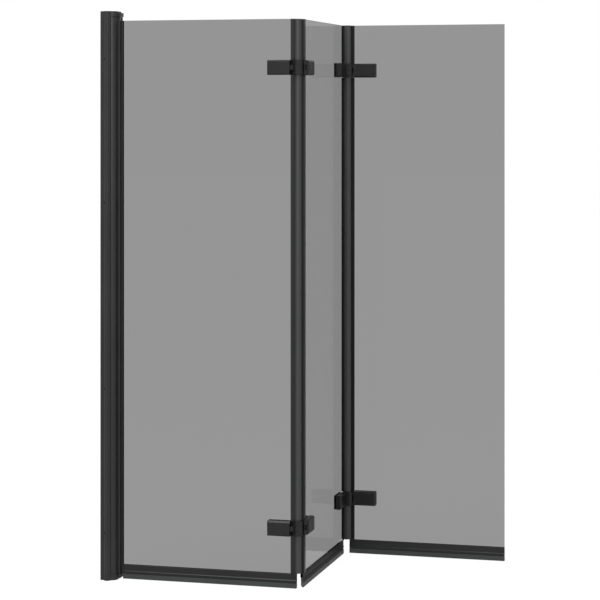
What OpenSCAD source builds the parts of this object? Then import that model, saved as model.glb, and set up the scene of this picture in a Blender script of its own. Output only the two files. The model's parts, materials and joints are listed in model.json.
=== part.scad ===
// Folding bath screen: three tinted glass panels on a wall profile.
// The wall face is X = 0, the first panel runs along +X, the second along +Y and
// the third along +X again, with Z up. The bath rim is at rim height zero inside
// the modules, and the last step moves mid-height of the wall profile to Z = 0.

/* [Overall] */
// height of the wall assembly with both caps
wall_h = 1297; // [1200:1:1500]
// distance from the wall face to the axis of the first fold
panel_1_reach = 455.5; // [300:0.5:600]
// distance between the two fold axes along the second panel
panel_2_reach = 389; // [250:0.5:500]
// distance from the second fold axis to the free edge of the third panel
panel_3_reach = 379; // [250:0.5:500]

/* [Glass] */
// thickness of each glass panel
glass_t = 6; // [4:0.5:8]
// height of the top edge of the glass over the bath rim
glass_top = 1276; // [1180:1:1480]
// height of the lower edge of the glass, inside the bottom rail
glass_low = 21.2; // [20:0.1:24]
// start of the first glass from the wall face, inside the pocket
glass_1_start = 33; // [32:0.5:36]
// gap between glass edge and axis at the first fold
fold_1_edge = 9; // [8:0.5:10]
// gap between glass edge and axis at the second fold
fold_2_edge = 2.5; // [2:0.5:4]
// half height of the notches that clear the knuckles
notch_half = 17.1; // [17.1:0.1:22]
// depth of the notches from the fold axis
notch_reach = 13.75; // [13.75:0.25:18]

/* [Folds] */
// distance of the first fold axis behind the outer glass faces
fold_1_in = 9.5; // [8:0.5:12]
// distance of the second fold axis in front of the glass faces
fold_2_out = 12.5; // [11:0.5:14]
// height of the lower hinges over the bath rim
hinge_low = 134; // [100:1:200]
// height of the upper hinges over the bath rim
hinge_high = 1167; // [1000:1:1200]

/* [Hinges] */
// height of a hinge block
block_h = 33.5; // [30:0.5:40]
// near end of a block from the fold axis
block_near = 13.5; // [13.5:0.5:16]
// far end of a block from the fold axis
block_far = 66; // [50:1:80]
// bevel of the block edges
block_bevel = 3; // [1:0.5:4]
// thickness of the rubber pads on the glass
pad_t = 0.5; // [0.3:0.1:1]
// thickness of the clamp plate behind the glass
plate_t = 2.5; // [2:0.5:3]
// radius of a hinge pin
pin_r = 4; // [3:0.5:5]
// outer radius of a hinge bush
bush_r = 6; // [5:0.5:7]
// radial clearance of a pin in its bush
run_fit = 0.05; // [0.02:0.01:0.1]
// half height of the middle knuckle
knuckle_mid = 5.6; // [5:0.1:7]
// distance of the first screw from the fold axis
screw_near = 28; // [24:1:32]
// distance of the second screw from the fold axis
screw_far = 52; // [45:1:58]
// radius of a clamp screw
screw_r = 2.5; // [2:0.5:3]
// radius of the screw holes in the glass
glass_hole_r = 5; // [4:0.5:6]

/* [Wall assembly] */
// distance of the wall pivot axis from the wall face
pivot_x = 22; // [20:0.5:26]
// distance of the wall pivot axis in front of the glass
pivot_y = -13.5; // [-16:0.5:-12]
// radius of the pivot barrel
barrel_r = 13.5; // [12:0.5:15]
// thickness of each end cap
cap_t = 12.5; // [10:0.5:16]
// reach of the caps from the wall face
cap_reach = 42.5; // [42:0.5:46]
// reach of the glazing pocket from the wall face
pocket_reach = 40.5; // [40:0.5:42]
// front of the wall channel, from the glass face
channel_front = -29; // [-32:0.5:-27]
// back of the wall channel, from the glass face
channel_back = 7; // [5:0.5:8]
// thickness of the back plate of the wall channel
channel_t = 2.5; // [2:0.1:4]
// thickness of the side walls of the channel
side_t = 2; // [1.5:0.1:3]
// radius of the rounded front of the adjusting profile
nose_r = 9; // [8:0.5:10]
// radius of the cap screws
cap_screw_r = 1.6; // [1.5:0.1:2]
// radius of the adjusting screws
adjust_screw_r = 1.25; // [1:0.05:1.5]
// radius of the wall screw holes
wall_hole_r = 2.75; // [2:0.25:4]
// height of the lowest wall screw hole over the bath rim
wall_hole_low = 90; // [60:1:120]
// height of the second wall screw hole over the bath rim
wall_hole_mid = 465; // [400:1:520]

/* [Bottom seal] */
// thickness of a bottom rail
rail_t = 10; // [9:0.5:14]
// height of the top of a bottom rail over the bath rim
rail_top = 32; // [28:0.5:40]
// height of the underside of a bottom rail over the bath rim
rail_low = 12; // [11.5:0.5:14]
// thickness of the sealing lip
lip_t = 9; // [7:0.5:10]
// height of the thick part of the sealing lip
lip_h = 11.5; // [9:0.5:11.5]
// start of the first rail from the wall face
rail_1_start = 45; // [44:0.5:60]
// gap between a rail end and the fold axis plane
rail_gap = 1; // [0.8:0.1:4]
// reach of the slanted end of the second rail from the first fold axis
slant_reach = 20; // [10:1:30]

/* [Hidden] */
$fn = 64;
e = 0.1;
fold_1 = [panel_1_reach, fold_1_in];
fold_2 = [panel_1_reach + fold_2_out + fold_1_in, fold_1_in + panel_2_reach];
free_edge = panel_3_reach;
mid_1 = glass_t / 2 - fold_1_in;
mid_2 = fold_2_out + glass_t / 2;
hinge_z = [hinge_low, hinge_high];
strip_half = block_h / 2 + 0.35;
strip_low = rail_top + 0.5;
bead_low = rail_top + 3.5;
front_1 = -fold_1_in - pad_t;
back_1 = -fold_1_in + glass_t + pad_t;
out_1 = -22.5;
front_2 = fold_2_out - pad_t;
back_2 = fold_2_out + glass_t + pad_t;
out_2 = 0.5;
port_x = 4.6;
port_y = [channel_front + 5.6, channel_back - 5.8];
adjust_near = 8.5;
adjust_far = 24.3;
adjust_back_reach = 27.4;
adjust_x = 11;
adjust_seat = channel_front - 2.4;
head_r = 2.5;
pocket_floor = 31.5;
pocket_front = -10;
pocket_half = 4.6;
panel_back = 9.5;
pivot_pin_h = 34;
pivot_bush_h = 24;
cheek_toe = 3.5;
adjust_z = [wall_h / 2 - 539.5, wall_h / 2 - 211.5, wall_h / 2 + 211.5, wall_h / 2 + 539.5];
black = [0.13, 0.14, 0.14];
dark = [0.08, 0.08, 0.085];
rubber_black = [0.10, 0.10, 0.10];
steel = [0.62, 0.63, 0.65];
nylon = [0.85, 0.85, 0.82];
smoke = [0.25, 0.26, 0.27, 0.5];

// ---------- placing ----------

// moves rim height zero to half the wall height below the origin
module row() {
    translate([0, 0, -wall_h / 2]) children();
}

// a slab of a flat outline between two heights
module slab(z0, z1) {
    translate([0, 0, z0]) linear_extrude(height = z1 - z0) children();
}

// a piece of the first panel at the first fold, from the flat fold outline
module at_1a() {
    row() translate([fold_1[0], fold_1[1], 0]) children();
}

// a piece of the second panel at the first fold
module at_1b() {
    row() translate([fold_1[0], fold_1[1], 0]) rotate([0, 0, 90]) children();
}

// a piece of the second panel at the second fold
module at_2a() {
    row() translate([fold_2[0], fold_2[1], 0]) rotate([0, 0, 90]) children();
}

// a piece of the third panel at the second fold
module at_2b() {
    row() translate([fold_2[0], fold_2[1], 0]) children();
}

// ---------- wall assembly ----------

// channel screwed to the wall, open towards the panel
module wall_channel() {
    color(black) row() difference() {
        slab(cap_t, wall_h - cap_t) difference() {
            union() {
                translate([0, channel_front]) square([channel_t, channel_back - channel_front]);
                translate([0, channel_front]) square([13.5, side_t]);
                translate([0, channel_back - side_t]) square([pivot_x, side_t]);
                for (y = port_y) translate([port_x, y]) circle(r = 2 * cap_screw_r);
            }
            for (y = port_y) translate([port_x, y]) circle(r = cap_screw_r);
        }
        for (z = [wall_hole_low, wall_hole_mid, wall_h - wall_hole_mid, wall_h - wall_hole_low])
            translate([-1, (channel_front + channel_back) / 2, z])
                rotate([0, 90, 0]) cylinder(r = wall_hole_r, h = channel_t + 2);
        for (z = adjust_z)
            translate([adjust_x, channel_front + 3, z])
                rotate([90, 0, 0]) cylinder(r = adjust_screw_r, h = 4);
    }
}

// rounded front of the adjusting profile
module nose() {
    intersection() {
        translate([adjust_near + 8.5, channel_front + 2.5]) circle(r = nose_r);
        polygon([[adjust_near, -24.6], [adjust_near, -36], [19.5, -36], [19.5, -35.2],
            [adjust_far, -29.8], [adjust_far, -20]]);
    }
}

module adjust_outline() {
    difference() {
        union() {
            nose();
            // cradle round the barrel, open on the side of the panel
            intersection() {
                translate([pivot_x, pivot_y]) circle(r = barrel_r + 2.3);
                translate([0, -40]) square([adjust_far, 60]);
            }
            translate([adjust_near, channel_back + 0.4]) square([adjust_back_reach - adjust_near, 2.1]);
            translate([pivot_x + 0.4, -3]) square([adjust_back_reach - pivot_x - 0.4, 10.5]);
        }
        translate([pivot_x, pivot_y]) circle(r = barrel_r + 0.3);
        // room for the side wall of the channel
        translate([0, channel_front - 0.4]) square([13.9, side_t + 0.8]);
    }
}

module adjust_profile() {
    color(black) row() difference() {
        slab(cap_t, wall_h - cap_t) adjust_outline();
        for (z = adjust_z) {
            translate([adjust_x, -20, z]) rotate([90, 0, 0]) cylinder(r = adjust_screw_r, h = 20);
            translate([adjust_x, adjust_seat, z]) rotate([90, 0, 0]) cylinder(r = head_r + 0.1, h = 10);
        }
    }
}

module adjust_screws() {
    color(dark) row() for (z = adjust_z) {
        translate([adjust_x, channel_front + 2.2, z])
            rotate([90, 0, 0]) cylinder(r = adjust_screw_r, h = channel_front + 2.3 - adjust_seat);
        translate([adjust_x, adjust_seat, z]) rotate([90, 0, 0]) cylinder(r = head_r, h = 1);
    }
}

module cap_outline() {
    translate([0, channel_front]) square([13.5, panel_back - channel_front]);
    translate([8, -2]) square([adjust_back_reach - 8, panel_back + 2]);
    nose();
    translate([pivot_x, pivot_y]) circle(r = barrel_r + 1);
    translate([pivot_x, pocket_front - 1]) square([cap_reach - pivot_x, panel_back + 1 - pocket_front]);
}

// cap with its pin hole and screw holes, underside at z = 0, open side up
module cap_body() {
    difference() {
        linear_extrude(height = cap_t) cap_outline();
        translate([pivot_x, pivot_y, 4]) cylinder(r = pin_r, h = cap_t);
        for (y = port_y) translate([port_x, y, -e]) {
            cylinder(r = cap_screw_r + 0.2, h = cap_t + 1);
            cylinder(r1 = 4, r2 = cap_screw_r + 0.2, h = 2.2);
        }
        // the neck over the pocket is thinner than the rest
        translate([pivot_x + barrel_r + 1.1, -20, -e]) cube([20, 40, 3.5]);
    }
}

module bottom_cap() {
    color(black) row() cap_body();
}

module top_cap() {
    color(black) row() translate([0, 0, wall_h]) mirror([0, 0, 1]) cap_body();
}

module cap_screw() {
    cylinder(r1 = 3.3, r2 = cap_screw_r, h = 1.7);
    cylinder(r = cap_screw_r, h = 28);
}

module cap_screws() {
    color(steel) row() for (y = port_y) {
        translate([port_x, y, 0.3]) cap_screw();
        translate([port_x, y, wall_h - 0.3]) mirror([0, 0, 1]) cap_screw();
    }
}

module pivot_pins() {
    color(steel) row() {
        translate([pivot_x, pivot_y, 4]) cylinder(r = pin_r, h = pivot_pin_h);
        translate([pivot_x, pivot_y, wall_h - 4 - pivot_pin_h]) cylinder(r = pin_r, h = pivot_pin_h);
    }
}

// ---------- first panel at the wall ----------

module pivot_bushes() {
    color(nylon) row() for (z = [cap_t + 0.3, wall_h - cap_t - 0.3 - pivot_bush_h])
        translate([pivot_x, pivot_y, z]) difference() {
            cylinder(r = bush_r, h = pivot_bush_h);
            translate([0, 0, -1]) cylinder(r = pin_r + run_fit, h = pivot_bush_h + 2);
        }
}

module pivot_profile() {
    color(black) row() slab(cap_t + 0.3, wall_h - cap_t - 0.3) difference() {
        union() {
            translate([pivot_x, pivot_y]) circle(r = barrel_r);
            translate([28, pocket_front]) square([pocket_reach - 28, panel_back - pocket_front]);
        }
        translate([pivot_x, pivot_y]) circle(r = bush_r);
        translate([pocket_floor, glass_t / 2 - pocket_half]) square([20, 2 * pocket_half]);
    }
}

module glazing_gasket() {
    color(rubber_black) row() slab(cap_t + 0.8, glass_top) difference() {
        union() {
            translate([pocket_floor, glass_t / 2 - pocket_half])
                square([pocket_reach - pocket_floor, 2 * pocket_half]);
            translate([pocket_reach, glass_t / 2 - pocket_half - 0.8]) square([2, 2 * pocket_half + 1.6]);
            translate([pocket_reach + 2, glass_t / 2 - pocket_half + 0.2]) square([2, 2 * pocket_half - 0.4]);
        }
        translate([glass_1_start - 0.1, -0.05]) square([20, glass_t + 0.1]);
    }
}

// ---------- glass ----------

// glass plate from x0 to x1 across a fold frame, its mid-plane at y
module plate_of_glass(x0, x1, y) {
    translate([x0, y - glass_t / 2, glass_low]) cube([x1 - x0, glass_t, glass_top - glass_low]);
}

// notch and screw holes of both hinges, side is -1 or 1 along X
module hinge_cuts(side, y) {
    for (z = hinge_z) {
        translate([side > 0 ? -10 : -notch_reach, y - 10, z - notch_half])
            cube([notch_reach + 10, 20, 2 * notch_half]);
        for (x = [screw_near, screw_far])
            translate([side * x, y + 10, z]) rotate([90, 0, 0]) cylinder(r = glass_hole_r, h = 20);
    }
}

module glass_1() {
    color(smoke) at_1a() difference() {
        plate_of_glass(glass_1_start - fold_1[0], -fold_1_edge, mid_1);
        hinge_cuts(-1, mid_1);
    }
}

module glass_2() {
    color(smoke) difference() {
        at_1b() plate_of_glass(fold_1_edge, panel_2_reach - fold_2_edge, mid_1);
        at_1b() hinge_cuts(1, mid_1);
        at_2a() hinge_cuts(-1, mid_2);
    }
}

module glass_3() {
    color(smoke) at_2b() difference() {
        plate_of_glass(fold_2_edge, free_edge, mid_2);
        hinge_cuts(1, mid_2);
    }
}

// ---------- bottom rails and sealing lips ----------

// outline across a rail, first axis through the thickness, second axis up. The
// front has a ledge over the lip and fine lines, the back is plain.
module rail_outline() {
    front = rail_t / 2 + 1;
    rear = rail_t / 2 - 0.8;
    difference() {
        polygon([[-front + 1.8, rail_low], [rear - 0.6, rail_low], [rear, rail_low + 0.6],
            [rear, rail_top - 0.8], [rear - 0.8, rail_top], [2.2 - front, rail_top],
            [1.4 - front, rail_top - 0.8], [1.4 - front, 18.8], [-front, 17.4], [-front, 16],
            [-front + 1.8, 15.2]]);
        translate([-glass_t / 2 - 0.1, glass_low - 0.1]) square([glass_t + 0.2, 30]);
        translate([0, 18]) circle(r = 1.9);
        translate([-1.1, rail_low - 1]) square([2.2, 6]);
        for (z = [22.5, 27.5]) translate([1.1 - front, z]) square([0.6, 0.7]);
    }
}

// outline across a lip: a thick body on the rim and a bulb in the keyhole of the rail
module lip_outline() {
    front = lip_t / 2 + 1;
    rear = lip_t / 2 - 0.5;
    polygon([[0.8 - front, 0], [rear - 0.8, 0], [rear, 0.8], [rear, lip_h - 0.8],
        [rear - 0.8, lip_h], [1.2 - front, lip_h], [-front, lip_h - 1.2], [-front, 0.8]]);
    translate([-1, lip_h - 1]) square([2, 19 - lip_h]);
    translate([0, 18]) circle(r = 1.8);
}

// runs an outline along X from x0 to x1 with its middle at y
module run(x0, x1, y) {
    translate([x0, y, 0]) rotate([90, 0, 90]) linear_extrude(height = x1 - x0) children();
}

module bottom_rail_1() {
    color(black) at_1a() run(rail_1_start - fold_1[0], -rail_gap, mid_1) rail_outline();
}

// slanted cut at the near end of the second rail, on the inner side of the corner
module slant() {
    slab(-1, 40) polygon([[-20, -20], [rail_gap, -20], [rail_gap, mid_1 - rail_t / 2 - 1],
        [slant_reach, mid_1 + rail_t / 2], [slant_reach, 10], [-20, 10]]);
}

module bottom_rail_2() {
    color(black) at_1b() difference() {
        run(rail_gap, panel_2_reach - rail_gap, mid_1) rail_outline();
        slant();
    }
}

module bottom_rail_3() {
    color(black) at_2b() run(rail_gap, free_edge, mid_2) rail_outline();
}

module bottom_lip_1() {
    color(rubber_black) at_1a() run(rail_1_start - fold_1[0], -rail_gap, mid_1) lip_outline();
}

module bottom_lip_2() {
    color(rubber_black) at_1b() difference() {
        run(rail_gap, panel_2_reach - rail_gap, mid_1) lip_outline();
        slant();
    }
}

module bottom_lip_3() {
    color(rubber_black) at_2b() run(rail_gap, free_edge, mid_2) lip_outline();
}

// ---------- edge strips between the glass edges ----------

// the three lengths that the hinges leave free
module strip_lengths(low = strip_low) {
    slab(low, hinge_low - strip_half) children();
    slab(hinge_low + strip_half, hinge_high - strip_half) children();
    slab(hinge_high + strip_half, glass_top) children();
}

// ball bead with a clip on the edge of the first panel
module ball_1_outline() {
    difference() {
        union() {
            circle(r = 7.5);
            translate([-13.6, -11.8]) square([6, 10.5]);
            translate([-13.6, -11.8]) square([7, 2.3]);
            polygon([[-8, -1.3], [-8, -11.5], [-6.7, -11.5], [-3.4, -6.6], [-5.2, -5], [-6, -1.3]]);
        }
        circle(r = 5.7);
        translate([-14, mid_1 - glass_t / 2 - 0.05]) square([14 - fold_1_edge, glass_t + 0.1]);
    }
}

// cup bead with a clip on the near edge of the second panel
module cup_1_outline() {
    difference() {
        union() {
            translate([7.6, -13.4]) square([11.4, 3.9]);
            translate([7.6, -13.4]) square([5.4, 12.1]);
            intersection() {
                circle(r = 9);
                translate([0.5, -9.5]) square([9, 8.2]);
            }
        }
        circle(r = 7.8);
        translate([fold_1_edge, mid_1 - glass_t / 2 - 0.05]) square([20, glass_t + 0.1]);
    }
}

// cup bead bonded round the far edge of the second panel
module cup_2_outline() {
    difference() {
        union() {
            translate([-4.5, 6]) square([3.3, fold_2_out - 6.05]);
            translate([-fold_2_edge + 0.05, 9.7]) square([fold_2_edge - 1.25, glass_t + 2.8]);
            intersection() {
                circle(r = 9);
                translate([-9.5, 0.3]) square([8.3, 9]);
            }
        }
        circle(r = 7.8);
    }
}

// ball bead with a clip on the edge of the third panel
module ball_2_outline() {
    difference() {
        union() {
            circle(r = 7.5);
            translate([1, 9.7]) square([12.5, 3]);
            translate([1, 9.7]) square([10, 11]);
            translate([1.5, 4]) square([4.5, 6]);
        }
        circle(r = 5.7);
        translate([fold_2_edge, mid_2 - glass_t / 2 - 0.05]) square([20, glass_t + 0.1]);
    }
}

module fold_1_ball_seal() {
    color(black) at_1a() strip_lengths() ball_1_outline();
}

module fold_1_cup_seal() {
    color(rubber_black) at_1b() strip_lengths() cup_1_outline();
}

module fold_2_cup_seal() {
    color(rubber_black) at_2a() {
        strip_lengths(bead_low) cup_2_outline();
        slab(strip_low, bead_low) translate([-4.5, 9]) square([3.3, fold_2_out - 9.05]);
    }
}

module fold_2_ball_seal() {
    color(black) at_2b() {
        strip_lengths(bead_low) ball_2_outline();
        slab(strip_low, bead_low) translate([4, 9.7]) square([9.5, fold_2_out - 9.75]);
    }
}

// ---------- hinges ----------
// A leaf is drawn for the side of +X and mirrored for the side of -X. out is the
// height of the outer face over the axis and in_y that of the face on the pad.

// square knuckle with rounded corners
module knuckle_outline() {
    intersection() {
        square([23, 23], center = true);
        circle(r = 13.2);
    }
}

// outline of a block with the cheek that reaches round the knuckle
module block_plan(out, in_y) {
    s = sign(out - in_y);
    difference() {
        polygon([[cheek_toe, in_y], [block_far, in_y], [block_far, out - s * block_bevel],
            [block_far - block_bevel, out], [block_near, out], [block_near, in_y + s],
            [cheek_toe, in_y + s * 5.5]]);
        circle(r = block_near + 0.1);
    }
}

module block_side(out, in_y) {
    s = sign(out - in_y);
    h = block_h / 2;
    polygon([[in_y, -h], [out - s * block_bevel, -h], [out, block_bevel - h],
        [out, h - block_bevel], [out - s * block_bevel, h], [in_y, h]]);
}

module block(out, in_y) {
    intersection() {
        slab(-block_h / 2, block_h / 2) block_plan(out, in_y);
        translate([1, 0, 0]) rotate([90, 0, 90])
            linear_extrude(height = 80) block_side(out, in_y);
    }
}

// bridge from the block to the knuckle
module bridge_outline(out, in_y) {
    if (out < 0)
        polygon([[block_near + 4, -12], [block_near + 4, -18.5], [block_near - 1, -18.5],
            [4, -11.4], [4, -8], [11.4, -2], [block_near - 0.8, -10.2]]);
    else
        polygon([[block_near + 4, out], [block_near + 4, 11], [8, 11], [8, out]]);
}

module knuckle_solid(out, in_y) {
    difference() {
        union() {
            knuckle_outline();
            bridge_outline(out, in_y);
        }
        circle(r = pin_r);
    }
}

module knuckle_bushed(out, in_y) {
    difference() {
        union() {
            knuckle_outline();
            bridge_outline(out, in_y);
        }
        circle(r = bush_r);
    }
}

module screw_bores(y, deep) {
    for (x = [screw_near, screw_far])
        translate([x, y, 0]) rotate([90, 0, 0]) cylinder(r = screw_r, h = deep, center = true);
}

// leaf with the middle knuckle, which holds the pin
module leaf_a(out, in_y) {
    mirror([1, 0, 0]) difference() {
        union() {
            block(out, in_y);
            slab(-knuckle_mid, knuckle_mid) knuckle_solid(out, in_y);
        }
        screw_bores(in_y, 16);
    }
}

// leaf with the top and bottom knuckles, which hold the bushes
module leaf_b(out, in_y) {
    difference() {
        union() {
            block(out, in_y);
            slab(-block_h / 2, -knuckle_mid - 0.3) knuckle_bushed(out, in_y);
            slab(knuckle_mid + 0.3, block_h / 2) knuckle_bushed(out, in_y);
        }
        screw_bores(in_y, 16);
    }
}

// clamp plate behind the glass, its near face on the pad at y0
module clamp_plate(y0) {
    difference() {
        translate([block_near, y0, -block_h / 2]) cube([block_far - block_near, plate_t, block_h]);
        for (x = [screw_near, screw_far]) {
            translate([x, y0 + plate_t + 1, 0]) rotate([90, 0, 0]) cylinder(r = screw_r + 0.2, h = 10);
            translate([x, y0 + plate_t, 0]) rotate([90, 0, 0]) cylinder(r1 = 4.7, r2 = 2.7, h = 2);
        }
    }
}

// countersunk screw from the clamp plate into the block
module clamp_screw(y1) {
    translate([0, y1, 0]) rotate([90, 0, 0]) {
        cylinder(r1 = 4.3, r2 = screw_r, h = 1.8);
        cylinder(r = screw_r, h = 16);
    }
}

module screws_of(side, y1) {
    for (z = hinge_z, x = [screw_near, screw_far]) translate([side * x, 0, z]) clamp_screw(y1);
}

// rubber pads of one leaf side, y0 is the face of a pad nearer to -Y
module pads_of(side, y_front, y_back) {
    for (z = hinge_z, y = [y_front, y_back]) translate([0, 0, z]) difference() {
        translate([side > 0 ? notch_reach : -block_far, y, -block_h / 2])
            cube([block_far - notch_reach, pad_t, block_h]);
        for (x = [screw_near, screw_far])
            translate([side * x, y + 5, 0]) rotate([90, 0, 0]) cylinder(r = glass_hole_r, h = 10);
    }
}

module bushes() {
    for (z = hinge_z, s = [-1, 1])
        translate([0, 0, z + s * (knuckle_mid + 0.3 + block_h / 2) / 2]) difference() {
            cylinder(r = bush_r, h = block_h / 2 - knuckle_mid - 0.3, center = true);
            cylinder(r = pin_r + run_fit, h = block_h, center = true);
        }
}

module pins() {
    for (z = hinge_z) translate([0, 0, z]) cylinder(r = pin_r, h = block_h, center = true);
}

module fold_1_low_leaf_a() {
    color(black) at_1a() translate([0, 0, hinge_low]) leaf_a(out_1, front_1);
}

module fold_1_low_leaf_b() {
    color(black) at_1b() translate([0, 0, hinge_low]) leaf_b(out_1, front_1);
}

module fold_1_high_leaf_a() {
    color(black) at_1a() translate([0, 0, hinge_high]) leaf_a(out_1, front_1);
}

module fold_1_high_leaf_b() {
    color(black) at_1b() translate([0, 0, hinge_high]) leaf_b(out_1, front_1);
}

module fold_2_low_leaf_a() {
    color(black) at_2a() translate([0, 0, hinge_low]) leaf_a(out_2, front_2);
}

module fold_2_low_leaf_b() {
    color(black) at_2b() translate([0, 0, hinge_low]) leaf_b(out_2, front_2);
}

module fold_2_high_leaf_a() {
    color(black) at_2a() translate([0, 0, hinge_high]) leaf_a(out_2, front_2);
}

module fold_2_high_leaf_b() {
    color(black) at_2b() translate([0, 0, hinge_high]) leaf_b(out_2, front_2);
}

module fold_1_low_plate_a() {
    color(black) at_1a() translate([0, 0, hinge_low]) mirror([1, 0, 0]) clamp_plate(back_1);
}

module fold_1_low_plate_b() {
    color(black) at_1b() translate([0, 0, hinge_low]) clamp_plate(back_1);
}

module fold_1_high_plate_a() {
    color(black) at_1a() translate([0, 0, hinge_high]) mirror([1, 0, 0]) clamp_plate(back_1);
}

module fold_1_high_plate_b() {
    color(black) at_1b() translate([0, 0, hinge_high]) clamp_plate(back_1);
}

module fold_2_low_plate_a() {
    color(black) at_2a() translate([0, 0, hinge_low]) mirror([1, 0, 0]) clamp_plate(back_2);
}

module fold_2_low_plate_b() {
    color(black) at_2b() translate([0, 0, hinge_low]) clamp_plate(back_2);
}

module fold_2_high_plate_a() {
    color(black) at_2a() translate([0, 0, hinge_high]) mirror([1, 0, 0]) clamp_plate(back_2);
}

module fold_2_high_plate_b() {
    color(black) at_2b() translate([0, 0, hinge_high]) clamp_plate(back_2);
}

module fold_1_pins() {
    color(steel) at_1a() pins();
}

module fold_2_pins() {
    color(steel) at_2a() pins();
}

module fold_1_bushes() {
    color(nylon) at_1b() bushes();
}

module fold_2_bushes() {
    color(nylon) at_2b() bushes();
}

module fold_1_pads_a() {
    color(rubber_black) at_1a() pads_of(-1, front_1, back_1 - pad_t);
}

module fold_1_pads_b() {
    color(rubber_black) at_1b() pads_of(1, front_1, back_1 - pad_t);
}

module fold_2_pads_a() {
    color(rubber_black) at_2a() pads_of(-1, front_2, back_2 - pad_t);
}

module fold_2_pads_b() {
    color(rubber_black) at_2b() pads_of(1, front_2, back_2 - pad_t);
}

module fold_1_screws_a() {
    color(steel) at_1a() screws_of(-1, back_1 + plate_t - 0.1);
}

module fold_1_screws_b() {
    color(steel) at_1b() screws_of(1, back_1 + plate_t - 0.1);
}

module fold_2_screws_a() {
    color(steel) at_2a() screws_of(-1, back_2 + plate_t - 0.1);
}

module fold_2_screws_b() {
    color(steel) at_2b() screws_of(1, back_2 + plate_t - 0.1);
}

wall_channel();
adjust_profile();
adjust_screws();
top_cap();
bottom_cap();
cap_screws();
pivot_pins();
pivot_bushes();
pivot_profile();
glazing_gasket();
glass_1();
glass_2();
glass_3();
bottom_rail_1();
bottom_rail_2();
bottom_rail_3();
bottom_lip_1();
bottom_lip_2();
bottom_lip_3();
fold_1_ball_seal();
fold_1_cup_seal();
fold_2_cup_seal();
fold_2_ball_seal();
fold_1_low_leaf_a();
fold_1_low_leaf_b();
fold_1_high_leaf_a();
fold_1_high_leaf_b();
fold_2_low_leaf_a();
fold_2_low_leaf_b();
fold_2_high_leaf_a();
fold_2_high_leaf_b();
fold_1_low_plate_a();
fold_1_low_plate_b();
fold_1_high_plate_a();
fold_1_high_plate_b();
fold_2_low_plate_a();
fold_2_low_plate_b();
fold_2_high_plate_a();
fold_2_high_plate_b();
fold_1_pins();
fold_2_pins();
fold_1_bushes();
fold_2_bushes();
fold_1_pads_a();
fold_1_pads_b();
fold_2_pads_a();
fold_2_pads_b();
fold_1_screws_a();
fold_1_screws_b();
fold_2_screws_a();
fold_2_screws_b();
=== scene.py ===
"""Folding bath screen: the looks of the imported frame, laid out as an add-on."""

import json
import math

import bmesh
import bpy
from bpy.props import FloatProperty, FloatVectorProperty, IntProperty, PointerProperty
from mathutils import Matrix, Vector


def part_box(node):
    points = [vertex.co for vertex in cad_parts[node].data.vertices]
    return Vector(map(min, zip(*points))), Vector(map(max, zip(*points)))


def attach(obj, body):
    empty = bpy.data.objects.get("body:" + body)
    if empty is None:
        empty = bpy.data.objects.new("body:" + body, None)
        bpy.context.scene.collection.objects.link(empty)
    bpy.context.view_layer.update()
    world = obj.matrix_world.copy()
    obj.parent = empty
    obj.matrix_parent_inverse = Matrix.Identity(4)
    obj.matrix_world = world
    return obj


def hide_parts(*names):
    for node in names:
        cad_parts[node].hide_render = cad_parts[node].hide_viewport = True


bl_info = {
    "name": "Folding bath screen",
    "version": (1, 0, 0),
    "blender": (4, 5, 0),
    "location": "3D View > Sidebar > Bath screen",
    "description": "Builds a three-panel folding bath screen over its frame",
    "category": "Add Mesh",
}

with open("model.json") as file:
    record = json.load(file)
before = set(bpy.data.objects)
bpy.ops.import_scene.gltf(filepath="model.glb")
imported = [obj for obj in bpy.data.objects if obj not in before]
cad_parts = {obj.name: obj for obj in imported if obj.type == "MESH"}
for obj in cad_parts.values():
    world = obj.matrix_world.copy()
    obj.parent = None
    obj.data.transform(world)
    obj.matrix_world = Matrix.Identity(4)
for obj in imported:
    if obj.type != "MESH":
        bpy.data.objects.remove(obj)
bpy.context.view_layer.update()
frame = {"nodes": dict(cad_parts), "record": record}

MM = 0.001
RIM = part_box("bottom_lip_1")[0][2]
FOLD_1 = (0.4555, 0.0095)
FOLD_2 = (0.4775, 0.3985)
SPOTS = {
    "1a": (FOLD_1, 0),
    "1b": (FOLD_1, 90),
    "2a": (FOLD_2, 90),
    "2b": (FOLD_2, 0),
}
HINGES = {"low": 134.0, "high": 1167.0}

# Sizes in mm: heights over the bath rim, plan sizes from a fold axis or from mid-glass.
PANEL_1, PANEL_2, PANEL_3 = 455.5, 389.0, 379.0  # wall to fold, fold to fold, fold to free end
MID_GLASS_1, MID_GLASS_2 = -6.5, 15.5  # mid-glass in the outlines of the two folds
GLASS_HALF, GLASS_LOW, GLASS_HIGH = 3.0, 21.2, 1276.0
NOTCH_HALF, NOTCH_REACH, NOTCH_OPEN = 17.1, 13.75, 10.0
SCREW_REACHES, GLASS_HOLE, THREAD = (28.0, 52.0), 5.0, 2.5
BLOCK_NEAR, BLOCK_FAR, BLOCK_HALF, BLOCK_BEVEL = 13.5, 66.0, 16.75, 3.0
CHEEK_NEAR, CHEEK_HOLLOW, CHEEK_THICK, CHEEK_THIN = 3.5, 13.6, 6.0, 5.5
KNUCKLE_RADIUS, KNUCKLE_FLAT, KNUCKLE_HALF, KNUCKLE_START = 13.2, 11.5, 5.6, 5.9
LEAVES = ((1, -22.5, -10.0), (2, 0.5, 12.0))  # fold, front of the block, its seat on the glass
BORES = (("a", 4.0), ("b", 6.0))  # of the leaf with the pin and of the leaf with the bushes
PLATES = ((1, -3.0), (2, 19.0))  # fold, where its clamp plates begin behind the glass
PLATE_THICK, PLATE_ROUND, PLATE_HOLE, SINK = 2.5, 2.0, 2.7, 4.9
SCREW_TOP, SCREW_HEAD, SCREW_SHAFT, SCREW_SOCKET = 2.4, 4.3, 2.45, 1.7
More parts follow.
